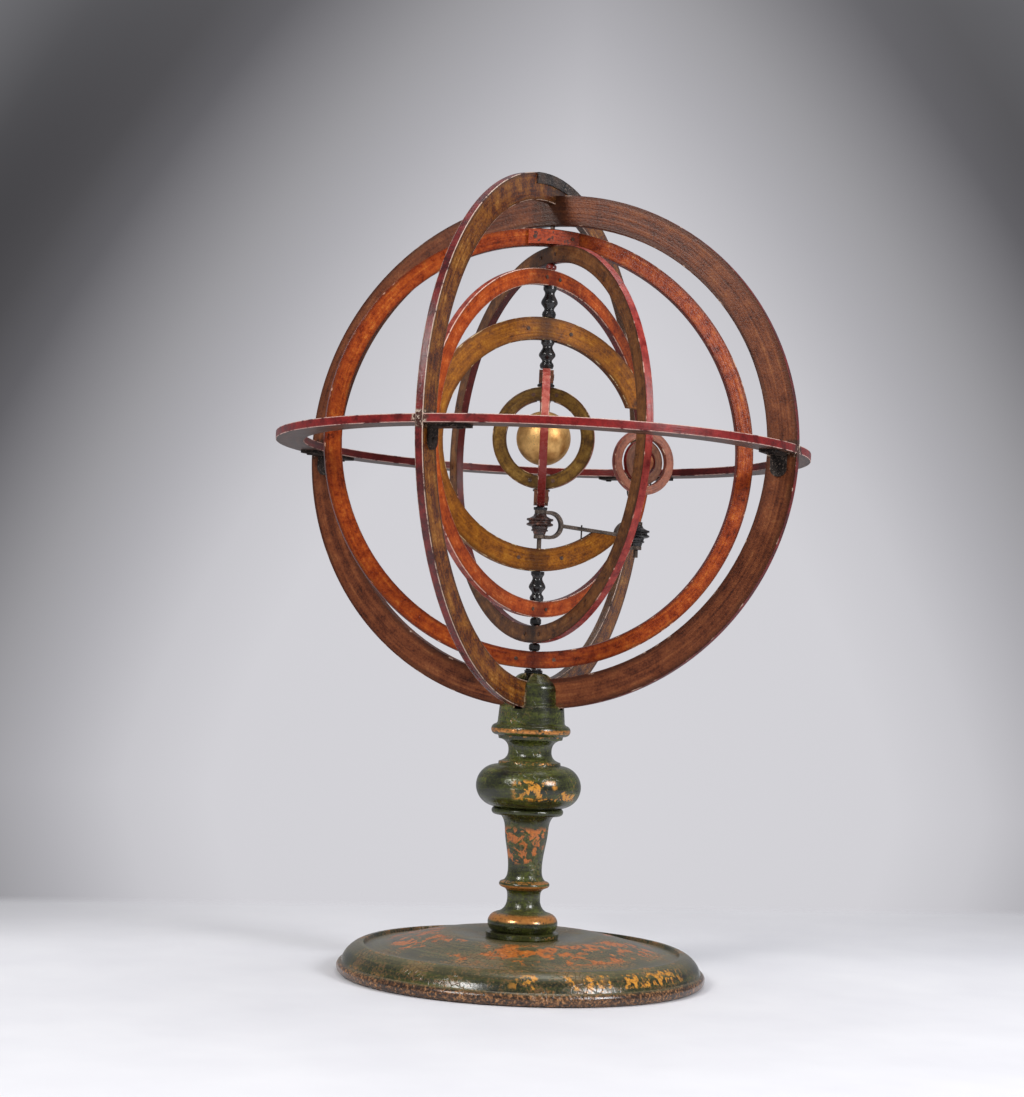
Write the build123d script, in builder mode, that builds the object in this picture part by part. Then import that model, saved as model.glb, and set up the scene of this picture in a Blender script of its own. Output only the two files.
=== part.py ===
from build123d import *

import os
from math import asin, cos, degrees, radians, sin, sqrt

os.makedirs("parts", exist_ok=True)

# A table-top sphere of the planets: a turned, lacquered wooden stand carries a cage
# of three flat wooden rings, and inside it six planet rings turn on one upright
# iron rod round a gilt sun. Millimetres, +Z up, origin under the middle of the base.

# ------------------------------------------------------------------ fits
slip = 0.05  # each side of a joint that is glued or screwed fast
run = 0.08  # radial room of a hole that turns on its rod
end_play = 0.2  # gap between a turning ring and the spacer above or below it
soft_edge = 0.5  # the rubbed corners of the wooden rings

# ------------------------------------------------------------------ stand
base_foot_radius = 133.0
base_band_radius = 137.3
base_band_height = 9.5
base_groove_radius = 134.0
base_rim_radius = 120.5
base_rim_height = 22.5
base_rim_width = 2.6
base_rim_step = 2.2
base_dome_radius = 56.0
base_dome_height = 32.0
base_seat_height = 29.3

column_foot_radius = 27.2
column_foot_height = 4.6
column_torus_radius = 26.2
column_torus_height = 14.0
column_ankle_radius = 12.4
column_ankle_height = 19.0
column_bead_radius = 18.9
column_bead_height = 4.4
column_waist_radius = 12.7
column_waist_height = 12.6
column_taper_radius = 19.2
column_taper_height = 38.0
column_collar_radius = 26.8
column_collar_height = 4.5
column_bulb_radius = 39.3
column_bulb_end_radius = 23.5
column_bulb_height = 31.6
column_step_height = 3.4
column_neck_radius = 16.2
column_neck_height = 15.9
tenon_radius = 11.0
tenon_length = 18.0
head_tenon_radius = 9.0
head_tenon_length = 11.0

seat_foot_radius = 23.8
seat_foot_height = 2.8
seat_bead_radius = 29.7
seat_bead_height = 8.2
seat_wall_radius = 25.8
seat_wall_height = 14.4
seat_lip_radius = 24.2
slot_depth = 2.6
dome_radius = 20.4
dome_crown_radius = 7.6
dome_shoulder_radius = 14.6
dome_shoulder_drop = 4.2
dome_foot_flare = 1.0
dome_over_ring = 4.0

# ------------------------------------------------------------------ rod and sun
rod_radius = 1.7
sun_radius = 20.4

# ------------------------------------------------------------------ planet rings
# From the sun outwards. "above" and "below" are the gaps along the rod to the piece
# inside, which the spacers fill; "azimuth" is where the ring stands, in degrees.
ring_thickness = 6.0
planet_rings = [
    dict(name="mercury", above=8.0, below=7.6, width=10.2, azimuth=20.0, nail=8.7),
    dict(name="venus", above=2.3, below=1.9, width=11.6, azimuth=115.0, nail=7.0),
    dict(name="earth", above=21.3, below=31.3, width=17.0, azimuth=48.0, nail=17.5),
    dict(name="mars", above=23.8, below=22.4, width=12.1, azimuth=74.5, nail=7.5),
    dict(name="jupiter", above=4.6, below=6.4, width=12.9, azimuth=-36.0, nail=11.0),
    dict(name="saturn", above=0.5, below=6.1, width=12.9, azimuth=38.0, nail=14.5),
]
earth_ring_shift = -3.1  # the earth's ring is hung a little off its own centre
seat_flat_radius = 7.0  # each ring's inner edge is filed flat round the rod
cheek_thickness = 2.4
cheek_inset = 1.2
cheek_past_nail = 5.0
nail_radius = 0.8
nail_head_radius = 1.4
nail_head_height = 0.5

# ------------------------------------------------------------------ outer cage
cage_thickness = 6.0
colure_a_width = 22.5
colure_b_width = 20.0
horizon_width = 21.0
cage_gap = 11.8  # from the outermost planet ring to the cage, sideways
cage_gap_above = 2.4
foot_collar_height = 3.6
crown_rise = 13.5  # how far the second upright ring stands above the first
horizon_height = 194.4  # middle of the level ring above the seat's slots

bracket_reach = 28.0
bracket_width = 12.0
bracket_leg = 17.0
bracket_thickness = 2.2
screw_radius = 1.1
screw_length = 4.6
screw_head_radius = 2.3
screw_head_height = 1.1
strap_length = 88.0
strap_offset = 6.0
strap_width = 8.0
strap_thickness = 1.2

# ------------------------------------------------------------------ spacers on the rod
bead_radius = 4.2
baluster_radius = 6.2
collar_radius = 6.5
sleeve_radius = 3.7
disc_radius = 5.2
foot_collar_radius = 7.0
venus_disc_thickness = 2.0

# ------------------------------------------------------------------ earth's carriage
pulley_radius = 10.0
pulley_height = 15.6
arm_thickness = 2.6
arm_depth = 4.2
arm_throat = 8.0  # straight part of each fork's tines, from the rod to the bend
arm_eye_radius = 4.3
arm_drop = 3.6  # the outer fork sits this much lower than the inner one
ring_break_top = 28.9  # the earth's ring is cut away up to this far above the sun's middle
wire_radius = 0.6
wire_reach = 34.5

meridian_radius = 25.2
meridian_width = 6.6
meridian_thickness = 5.0
meridian_offset = 3.0  # its middle stands this far outside the spindle
meridian_drop = 11.5  # and this far below the sun's middle
earth_gap = 0.4
spindle_foot = 6.0
spindle_neck_radius = 1.1
spindle_neck_length = 4.0
ferrule_radius = 2.5
ferrule_height = 3.4
axle_tilt = 23.5
axle_radius = 0.8
axle_head_radius = 1.5
moon_ring_gap = 1.4
moon_ring_width = 7.1
moon_ring_thickness = 4.0
moon_ring_turn = 10.0
globe_radius = 8.1

# ------------------------------------------------------------------ worked-out places
base_top = base_seat_height
seat_bottom = base_top + sum((
    column_foot_height, column_torus_height, column_ankle_height, column_bead_height,
    column_waist_height, column_taper_height, column_collar_height,
    column_bulb_height, column_step_height, column_neck_height,
))
seat_top = seat_bottom + seat_foot_height + seat_bead_height + seat_wall_height
slot_floor = seat_top - slot_depth
dome_top = slot_floor + colure_a_width + dome_over_ring
rings_bottom = dome_top + foot_collar_height
sun_height = rings_bottom + sun_radius + sum(r["below"] + r["width"] for r in planet_rings)


def place_planet_rings():
    """Give each ring its inner and outer radius and its middle's height on the rod."""
    top, bottom = sun_height + sun_radius, sun_height - sun_radius
    for ring in planet_rings:
        ring["inner_top"] = top + ring["above"]
        ring["inner_bottom"] = bottom - ring["below"]
        top = ring["inner_top"] + ring["width"]
        bottom = ring["inner_bottom"] - ring["width"]
        ring["outer"] = (top - bottom) / 2
        ring["inner"] = ring["outer"] - ring["width"]
        ring["middle"] = (top + bottom) / 2
        ring["top"], ring["bottom"] = top, bottom


place_planet_rings()
mercury, venus, earth, mars, jupiter, saturn = planet_rings

sphere_radius = saturn["outer"] + cage_gap + colure_a_width
colure_a_top = saturn["top"] + cage_gap_above + colure_a_width
colure_a_half = (colure_a_top - slot_floor) / 2
colure_b_half = (colure_a_top + crown_rise - slot_floor) / 2
colure_a_middle = slot_floor + colure_a_half
colure_b_middle = slot_floor + colure_b_half
colure_b_top = slot_floor + 2 * colure_b_half
horizon_middle = slot_floor + horizon_height
horizon_under = horizon_middle - cage_thickness / 2
horizon_inner = sphere_radius - horizon_width
lap = horizon_width / 2

spindle_out = venus["outer"] + earth_gap + meridian_radius + meridian_offset
meridian_out = spindle_out + meridian_offset
meridian_height = sun_height - meridian_drop
meridian_inner = meridian_radius - meridian_width
moon_ring_radius = meridian_inner - moon_ring_gap

pulley_top = venus["bottom"] - end_play - venus_disc_thickness - arm_thickness - 2 * end_play
pulley_middle = pulley_top - pulley_height / 2
fork_bend = pulley_height / 2 + end_play + arm_thickness / 2
fork_reach = arm_throat + fork_bend + arm_thickness / 2
outer_fork_middle = pulley_middle - arm_drop
hole_radius = rod_radius + run
rod_bottom = seat_bottom + head_tenon_length + 1.5
rod_top = colure_b_top - colure_b_width / 3


def upright(azimuth, out=0.0):
    """A plane through the rod: local x runs outwards at the azimuth, local y upwards."""
    across = Vector(sin(radians(azimuth)), -cos(radians(azimuth)), 0)
    along = Vector(cos(radians(azimuth)), sin(radians(azimuth)), 0)
    return Plane(origin=across * out, x_dir=along, z_dir=across)


def flat_ring(plane, outer_x, outer_y, width, thickness, centre):
    """Add a flat ring with rubbed corners to the part being built."""
    with BuildSketch(plane) as band:
        with Locations(centre):
            Ellipse(outer_x, outer_y)
            Ellipse(outer_x - width, outer_y - width, mode=Mode.SUBTRACT)
    extrude(band.sketch, amount=thickness / 2, both=True)
    fillet(edges().filter_by(lambda e: e.geom_type != GeomType.LINE), soft_edge)


def bore(radius, low, high, at=(0, 0)):
    """Cut an upright hole from one height to another."""
    with BuildSketch(Plane.XY.offset(low)) as hole:
        with Locations(at):
            Circle(radius)
    extrude(hole.sketch, amount=high - low, mode=Mode.SUBTRACT)


def cut_block(x_size, y_size, low, high, at=(0, 0)):
    """Cut an upright block from one height to another."""
    with BuildSketch(Plane.XY.offset(low)) as block:
        with Locations(at):
            Rectangle(x_size, y_size)
    extrude(block.sketch, amount=high - low, mode=Mode.SUBTRACT)


def turn_outline(points, at=(0, 0)):
    """Revolve a closed outline of (radius, height) points about an upright line."""
    foot = (at[0], at[1], 0)
    with BuildSketch(Plane(origin=foot, x_dir=(1, 0, 0), z_dir=(0, -1, 0))) as half:
        with BuildLine():
            Polyline(*points, close=True)
        make_face()
    revolve(half.sketch, axis=Axis(foot, (0, 0, 1)))


def save(part, name):
    part.label = name
    export_step(part, f"parts/{name}.step")


# ------------------------------------------------------------------ stand
with BuildPart() as base_disc:
    with BuildSketch(Plane.XZ):
        with BuildLine():
            foot = (base_foot_radius, 0)
            groove = (base_groove_radius, base_band_height)
            rim = (base_rim_radius, base_rim_height)
            rim_inside = (base_rim_radius - base_rim_width, base_rim_height)
            rim_foot = (rim_inside[0] - 1.0, base_rim_height - base_rim_step)
            crest = (base_dome_radius, base_dome_height)
            seat = (column_foot_radius + 1.5, base_seat_height)
            Polyline((0, base_seat_height), (0, 0), foot)
            ThreePointArc(foot, (base_band_radius, base_band_height / 2), groove)
            ThreePointArc(
                groove,
                ((groove[0] + rim[0]) / 2 + 1.6, (groove[1] + rim[1]) / 2 + 1.6),
                rim,
            )
            Polyline(rim, rim_inside, rim_foot)
            Spline(rim_foot, crest, seat, tangents=[(-1, 0.12), (-1, -0.2)])
            Line(seat, (0, base_seat_height))
        make_face()
    revolve(axis=Axis.Z)
    bore(tenon_radius + slip, base_top - tenon_length - slip, base_top + 5)

with BuildPart() as column:
    heights = [base_top]
    for step in (
        column_foot_height, column_torus_height, column_ankle_height, column_bead_height,
        column_waist_height, column_taper_height, column_collar_height,
        column_bulb_height, column_step_height, column_neck_height,
    ):
        heights.append(heights[-1] + step)
    z_foot, z_torus, z_ankle, z_bead, z_waist, z_taper, z_collar, z_bulb, z_step, z_neck = heights[1:]
    with BuildSketch(Plane.XZ):
        with BuildLine():
            Polyline((0, z_neck), (0, base_top), (column_foot_radius - 0.8, base_top),
                     (column_foot_radius, base_top + 1.0), (column_foot_radius, z_foot - 0.6),
                     (column_torus_radius - 3.5, z_foot))
            ThreePointArc((column_torus_radius - 3.5, z_foot),
                          (column_torus_radius, z_foot + column_torus_height * 0.45),
                          (column_torus_radius - 6.5, z_torus))
            Spline((column_torus_radius - 6.5, z_torus),
                   (column_ankle_radius + 0.2, z_torus + column_ankle_height * 0.4),
                   (column_ankle_radius, z_torus + column_ankle_height * 0.7),
                   (column_bead_radius - 2.0, z_ankle), tangents=[(-1, 0.3), (1, 0.35)])
            ThreePointArc((column_bead_radius - 2.0, z_ankle),
                          (column_bead_radius, z_ankle + column_bead_height * 0.45),
                          (column_bead_radius - 2.4, z_bead))
            Spline((column_bead_radius - 2.4, z_bead), (column_waist_radius, z_waist - 2.0),
                   (column_waist_radius + 3.4, z_waist + column_taper_height * 0.62),
                   (column_taper_radius + 2.5, z_taper), tangents=[(-1, 0.5), (1, 0.8)])
            ThreePointArc((column_taper_radius + 2.5, z_taper),
                          (column_collar_radius, z_taper + column_collar_height / 2),
                          (column_bulb_end_radius, z_collar))
            ThreePointArc((column_bulb_end_radius, z_collar),
                          (column_bulb_radius, z_collar + column_bulb_height / 2),
                          (column_bulb_end_radius, z_bulb))
            Line((column_bulb_end_radius, z_bulb), (column_bulb_end_radius - 0.4, z_step - 1.0))
            Spline((column_bulb_end_radius - 0.4, z_step - 1.0),
                   (column_neck_radius, (z_step + z_neck) / 2),
                   (seat_foot_radius - 1.0, z_neck), tangents=[(-1, 0.25), (1, 0.3)])
            Line((seat_foot_radius - 1.0, z_neck), (0, z_neck))
        make_face()
    revolve(axis=Axis.Z)
    with BuildSketch(Plane.XY.offset(base_top - tenon_length)):
        Circle(tenon_radius)
    extrude(amount=tenon_length + 1)
    with BuildSketch(Plane.XY.offset(z_neck - 1)):
        Circle(head_tenon_radius)
    extrude(amount=head_tenon_length + 1)

with BuildPart() as ring_seat:
    z_bead_low = seat_bottom + seat_foot_height
    z_wall = z_bead_low + seat_bead_height
    dome_spring = dome_top - (dome_radius - dome_crown_radius) * 0.95
    with BuildSketch(Plane.XZ):
        with BuildLine():
            Polyline((0, dome_top), (0, seat_bottom), (seat_foot_radius, seat_bottom),
                     (seat_foot_radius + 0.7, z_bead_low))
            ThreePointArc((seat_foot_radius + 0.7, z_bead_low),
                          (seat_bead_radius, z_bead_low + seat_bead_height * 0.42),
                          (seat_wall_radius + 0.4, z_wall))
            Line((seat_wall_radius + 0.4, z_wall), (seat_wall_radius - 0.6, z_wall + 1.2))
            Line((seat_wall_radius - 0.6, z_wall + 1.2), (seat_lip_radius, seat_top - 1.2))
            Line((seat_lip_radius, seat_top - 1.2), (seat_lip_radius - 1.2, seat_top))
            Polyline((seat_lip_radius - 1.2, seat_top), (dome_radius + dome_foot_flare, seat_top),
                     (dome_radius, dome_spring))
            Spline((dome_radius, dome_spring), (dome_shoulder_radius, dome_top - dome_shoulder_drop),
                   (dome_crown_radius, dome_top), tangents=[(0, 1), (-1, 0.12)])
            Line((dome_crown_radius, dome_top), (0, dome_top))
        make_face()
    revolve(axis=Axis.Z)
    slot_width = cage_thickness + 2 * slip
    cut_block(4 * seat_bead_radius, slot_width, slot_floor - slip, dome_top + 1)
    cut_block(slot_width, 4 * seat_bead_radius, slot_floor - slip, dome_top + 1)
    bore(head_tenon_radius + slip, seat_bottom - 1, seat_bottom + head_tenon_length + slip)
    bore(rod_radius + slip, rod_bottom - slip, dome_top + 1)

# ------------------------------------------------------------------ outer cage
rod_hole = rod_radius + slip
lap_width = cage_thickness + 2 * slip
bottom_lap = slot_floor + colure_b_width / 2
top_lap = (colure_a_top + colure_b_top - colure_b_width) / 2
horizon_low = horizon_under - slip
horizon_high = horizon_under + cage_thickness + slip
bracket_mid = sphere_radius - lap - 1.0
leg_screw_height = horizon_under - bracket_leg + bracket_width / 2
leg_screw_out = sphere_radius - horizon_width + bracket_width / 2 + 2.0


def notch_for_horizon(azimuth):
    """Cut the inner half of an upright ring away where the level ring crosses it."""
    for side in (0, 180):
        plane = Plane.XY.offset(horizon_low).rotated((0, 0, azimuth + side))
        with BuildSketch(plane) as notch:
            with Locations((sphere_radius - lap - horizon_width, 0)):
                Rectangle(2 * horizon_width + 2 * slip, lap_width + 2)
        extrude(notch.sketch, amount=horizon_high - horizon_low, mode=Mode.SUBTRACT)


def screw_pilots(azimuths):
    """Cut the blind holes for the bracket screws in an upright ring's faces."""
    for azimuth, side in azimuths:
        plane = upright(azimuth, side * (cage_thickness / 2))
        with BuildSketch(plane) as pilot:
            with Locations((leg_screw_out, leg_screw_height)):
                Circle(screw_radius + slip)
        depth = screw_length - bracket_thickness + slip
        extrude(pilot.sketch, amount=-side * depth, mode=Mode.SUBTRACT)


# Brackets: the upright ring's azimuth, and the face each one is screwed to.
brackets_on_a = [(0, 1), (180, 1), (180, -1)]
brackets_on_b = [(-90, -1), (90, 1), (90, -1)]

with BuildPart() as colure_a:
    flat_ring(upright(0), sphere_radius, colure_a_half, colure_a_width, cage_thickness,
              (0, colure_a_middle))
    cut_block(lap_width, lap_width, bottom_lap, slot_floor + 2 * colure_a_width)
    cut_block(lap_width, lap_width, top_lap - slip, colure_a_top + 1)
    bore(rod_hole, slot_floor - 1, colure_a_top + 1)
    notch_for_horizon(0)
    screw_pilots(brackets_on_a)

with BuildPart() as colure_b:
    flat_ring(upright(90), sphere_radius, colure_b_half, colure_b_width, cage_thickness,
              (0, colure_b_middle))
    cut_block(lap_width, lap_width, slot_floor - 1, bottom_lap + slip)
    cut_block(lap_width, lap_width, colure_b_top - 2 * colure_b_width, top_lap)
    bore(rod_hole, slot_floor - 1, rod_top + slip)
    notch_for_horizon(90)
    screw_pilots(brackets_on_b)


def bracket_place(azimuth, side):
    """The plane of a bracket's plate: local x outwards, local y away from the face."""
    out = Vector(cos(radians(azimuth)), sin(radians(azimuth)), 0)
    away = Vector(sin(radians(azimuth)), -cos(radians(azimuth)), 0) * side
    start = away * (cage_thickness / 2) + Vector(0, 0, horizon_under)
    return Plane(origin=start, x_dir=out, z_dir=out.cross(away))


with BuildPart() as horizon_ring:
    with BuildSketch(Plane.XY.offset(horizon_under)):
        Circle(sphere_radius)
        Circle(horizon_inner, mode=Mode.SUBTRACT)
    extrude(amount=cage_thickness)
    fillet(edges(), soft_edge)
    for turn in range(4):
        with BuildSketch(Plane.XY.offset(horizon_under - 1).rotated((0, 0, 90 * turn))):
            with Locations((sphere_radius - lap / 2 + 1, 0)):
                Rectangle(lap + 2 + 2 * slip, lap_width)
        extrude(amount=cage_thickness + 2, mode=Mode.SUBTRACT)
    for azimuth, side in brackets_on_a + brackets_on_b:
        place = bracket_place(azimuth, side)
        spot = place.from_local_coords((bracket_mid, bracket_reach - bracket_width / 2, 0))
        bore(screw_radius + slip, horizon_under - 1,
             horizon_under + screw_length - bracket_thickness + slip, at=(spot.X, spot.Y))

with BuildPart() as horizon_brackets:
    for azimuth, side in brackets_on_a + brackets_on_b:
        place = bracket_place(azimuth, side)
        down = -1 if place.z_dir.Z > 0 else 1
        with BuildSketch(place):
            with Locations((leg_screw_out, bracket_reach / 2)):
                Rectangle(bracket_width, bracket_reach)
            with Locations((bracket_mid, bracket_reach - bracket_width / 2)):
                Circle(screw_radius + slip, mode=Mode.SUBTRACT)
        extrude(amount=down * bracket_thickness)
        with BuildSketch(upright(azimuth, side * (cage_thickness / 2))):
            leg_high = horizon_under - bracket_thickness / 2
            with Locations((leg_screw_out, (leg_high + leg_screw_height) / 2)):
                Rectangle(bracket_width, leg_high - leg_screw_height)
            with Locations((leg_screw_out, leg_screw_height)):
                Circle(bracket_width / 2)
                Circle(screw_radius + slip, mode=Mode.SUBTRACT)
        extrude(amount=side * bracket_thickness)

with BuildPart() as bracket_screws:
    for azimuth, side in brackets_on_a + brackets_on_b:
        leg_face = side * (cage_thickness / 2 + bracket_thickness)
        with BuildSketch(upright(azimuth, leg_face)):
            with Locations((leg_screw_out, leg_screw_height)):
                Circle(screw_head_radius)
        extrude(amount=side * screw_head_height)
        with BuildSketch(upright(azimuth, leg_face)):
            with Locations((leg_screw_out, leg_screw_height)):
                Circle(screw_radius)
        extrude(amount=-side * screw_length)
        place = bracket_place(azimuth, side)
        spot = place.from_local_coords((bracket_mid, bracket_reach - bracket_width / 2, 0))
        with BuildSketch(Plane.XY.offset(horizon_under - bracket_thickness)):
            with Locations((spot.X, spot.Y)):
                Circle(screw_head_radius)
        extrude(amount=-screw_head_height)
        with BuildSketch(Plane.XY.offset(horizon_under - bracket_thickness)):
            with Locations((spot.X, spot.Y)):
                Circle(screw_radius)
        extrude(amount=screw_length)

with BuildPart() as crown_strap:
    with BuildSketch(upright(90, cage_thickness / 2)):
        with Locations((0, colure_b_middle)):
            Ellipse(sphere_radius, colure_b_half)
            Ellipse(sphere_radius - strap_width, colure_b_half - strap_width, mode=Mode.SUBTRACT)
        with Locations((strap_offset, colure_b_top)):
            Rectangle(strap_length, 4 * strap_width, mode=Mode.INTERSECT)
    extrude(amount=strap_thickness)

with BuildPart() as axis_rod:
    with BuildSketch(Plane.XY.offset(rod_bottom)):
        Circle(rod_radius)
    extrude(amount=rod_top - rod_bottom)

save(base_disc.part, "base_disc")
save(column.part, "stand_column")
save(ring_seat.part, "ring_seat")
save(colure_a.part, "colure_a")
save(colure_b.part, "colure_b")
save(horizon_ring.part, "horizon_ring")
save(horizon_brackets.part, "horizon_brackets")
save(bracket_screws.part, "bracket_screws")
save(crown_strap.part, "crown_strap")
save(axis_rod.part, "axis_rod")

# ------------------------------------------------------------------ sun and spacers
with BuildPart() as sun_ball:
    with BuildSketch(Plane.XZ):
        with BuildLine():
            CenterArc((0, sun_height), sun_radius, -90, 180)
            Line((0, sun_height - sun_radius), (0, sun_height + sun_radius))
        make_face()
    revolve(axis=Axis.Z)
    bore(rod_radius + slip, sun_height - 2 * sun_radius, sun_height + 2 * sun_radius)


def spacer(low, high, outline, at=(0, 0)):
    """Turn a spacer between two heights from (height share, radius) points, and bore it."""
    span = high - low
    points = [(radius, low + share * span) for share, radius in outline]
    turn_outline([(0, low)] + points + [(0, high)], at)
    bore(rod_radius + slip, low - 1, high + 1, at)


def baluster(low, high):
    """Turn a small vase-shaped spacer with a collar at each end."""
    span = high - low
    collar = baluster_radius * 0.86
    neck = baluster_radius * 0.6
    with BuildSketch(Plane.XZ) as half:
        with BuildLine():
            Polyline((0, high), (0, low), (collar - 0.6, low), (collar, low + 0.1 * span),
                     (collar - 0.5, low + 0.18 * span))
            Spline((collar - 0.5, low + 0.18 * span), (neck, low + 0.27 * span),
                   (baluster_radius, low + 0.45 * span), (neck, low + 0.76 * span),
                   (collar - 0.9, high - 0.14 * span))
            Polyline((collar - 0.9, high - 0.14 * span), (collar - 0.3, high - 0.1 * span),
                     (collar - 0.3, high), (0, high))
        make_face()
    revolve(half.sketch, axis=Axis.Z)
    bore(rod_radius + slip, low - 1, high + 1)


def bead(low, high):
    """Turn a small bead with a swelling middle."""
    spacer(low, high, [(0, bead_radius * 0.72), (0.25, bead_radius), (0.75, bead_radius),
                       (1, bead_radius * 0.72)])


with BuildPart() as sun_sleeve:
    sleeve_low = sun_height + sun_radius + slip
    spacer(sleeve_low, mercury["inner_top"] - end_play,
           [(0, sleeve_radius), (0.85, sleeve_radius), (0.85, sleeve_radius + 0.4),
            (1, sleeve_radius + 0.4)])

with BuildPart() as mercury_discs:
    for low, high in ((mercury["top"] + end_play, venus["inner_top"] - end_play),
                      (venus["inner_bottom"] + end_play, mercury["bottom"] - end_play)):
        spacer(low, high, [(0, collar_radius - 0.5), (0.3, collar_radius),
                           (0.7, collar_radius), (1, collar_radius - 0.5)])

with BuildPart() as venus_baluster:
    baluster(venus["top"] + end_play, earth["inner_top"] - end_play)

with BuildPart() as venus_disc:
    disc_high = venus["bottom"] - end_play
    spacer(disc_high - venus_disc_thickness, disc_high,
           [(0, disc_radius - 0.3), (0.4, disc_radius), (1, disc_radius)])

def pulley(low, at=(0, 0)):
    """Turn a grooved pulley with a ribbed cone below and a plain cone above its flanges."""
    shape = [
        (0.0, 0.42), (0.16, 0.5), (0.18, 0.62), (0.24, 0.64), (0.26, 0.56), (0.38, 0.62),
        (0.42, 0.86), (0.46, 1.0), (0.53, 1.0), (0.58, 0.84), (0.65, 0.84), (0.69, 1.0),
        (0.77, 1.0), (0.8, 0.8), (0.9, 0.52), (1.0, 0.45),
    ]
    spacer(low, low + pulley_height, [(share, r * pulley_radius) for share, r in shape], at)


with BuildPart() as fixed_pulley:
    pulley(pulley_top - pulley_height)

with BuildPart() as upper_baluster:
    baluster(earth["top"] + end_play, mars["inner_top"] - end_play)

with BuildPart() as lower_baluster:
    baluster(mars["inner_bottom"] + end_play, earth["bottom"] - end_play)

with BuildPart() as upper_bead:
    bead(mars["top"] + end_play, jupiter["inner_top"] - end_play)

with BuildPart() as lower_beads:
    bead(jupiter["inner_bottom"] + end_play, mars["bottom"] - end_play)
    bead(saturn["inner_bottom"] + end_play, jupiter["bottom"] - end_play)

with BuildPart() as foot_collar:
    spacer(dome_top, saturn["bottom"] - end_play, [
        (0.0, foot_collar_radius * 0.95), (0.14, foot_collar_radius), (0.3, foot_collar_radius),
        (0.38, foot_collar_radius * 0.88), (0.46, foot_collar_radius),
        (0.62, foot_collar_radius), (0.7, foot_collar_radius * 0.86),
        (1.0, foot_collar_radius * 0.8),
    ])

save(sun_ball.part, "sun_ball")
save(sun_sleeve.part, "sun_sleeve")
save(mercury_discs.part, "mercury_discs")
save(venus_baluster.part, "venus_baluster")
save(venus_disc.part, "venus_disc")
save(fixed_pulley.part, "fixed_pulley")
save(upper_baluster.part, "upper_baluster")
save(lower_baluster.part, "lower_baluster")
save(upper_bead.part, "upper_bead")
save(lower_beads.part, "lower_beads")
save(foot_collar.part, "foot_collar")

# ------------------------------------------------------------------ planet rings
# Where each ring's cheeks sit: (top or bottom of the ring, face of the ring).
cheek_faces = {
    "mercury": [(1, -1), (-1, -1)],
    "venus": [(1, 1), (1, -1), (-1, 1), (-1, -1)],
    "earth": [(1, -1), (-1, -1)],
    "mars": [(1, -1), (-1, -1)],
    "jupiter": [(1, -1), (-1, -1)],
    "saturn": [(1, 1), (-1, -1)],
}


def nail_spots(ring):
    """The places of a ring's four nails, in the ring's own plane."""
    shift = ring_shift(ring)
    spots = []
    for end in (1, -1):
        for side in (1, -1):
            out = side * ring["nail"]
            mid_radius = (ring["outer"] + ring["inner"]) / 2
            rise = sqrt(mid_radius ** 2 - (out - shift) ** 2)
            spots.append((out, ring["middle"] + end * rise))
    return spots


def ring_shift(ring):
    return earth_ring_shift if ring["name"] == "earth" else 0.0


def nail_holes(ring):
    with BuildSketch(upright(ring["azimuth"], -ring_thickness)) as holes:
        with Locations(*nail_spots(ring)):
            Circle(nail_radius + slip)
    extrude(holes.sketch, amount=2 * ring_thickness, mode=Mode.SUBTRACT)


def file_seats(ring):
    """File the ring's inner edge flat round the rod, where a spacer meets it."""
    deep = ring["width"] / 2
    bore(seat_flat_radius, ring["inner_top"] - deep, ring["inner_top"])
    bore(seat_flat_radius, ring["inner_bottom"], ring["inner_bottom"] + deep)


def fork_height(out):
    """Middle height of the carriage arm's bar at a distance from the rod."""
    share = (out - fork_reach) / (spindle_out - 2 * fork_reach)
    return pulley_middle - arm_drop * min(max(share, 0), 1)


def open_earth_ring():
    """Cut away the side of the earth's ring where the earth itself rides."""
    inside = earth["inner"] * 0.45
    fork_start = spindle_out - fork_reach
    under = arm_thickness / 2 + end_play
    far = spindle_out + fork_reach + earth["width"]
    break_high = sun_height + ring_break_top
    with BuildSketch(upright(earth["azimuth"])) as opening:
        with BuildLine():
            Polyline((inside, fork_height(inside) - under),
                     (fork_start, fork_height(fork_start) - under),
                     (fork_start, outer_fork_middle - fork_bend - 2 * arm_thickness),
                     (far, outer_fork_middle - fork_bend - 2 * arm_thickness),
                     (far, break_high), (inside, break_high), close=True)
        make_face()
    extrude(opening.sketch, amount=ring_thickness, both=True, mode=Mode.SUBTRACT)


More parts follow.
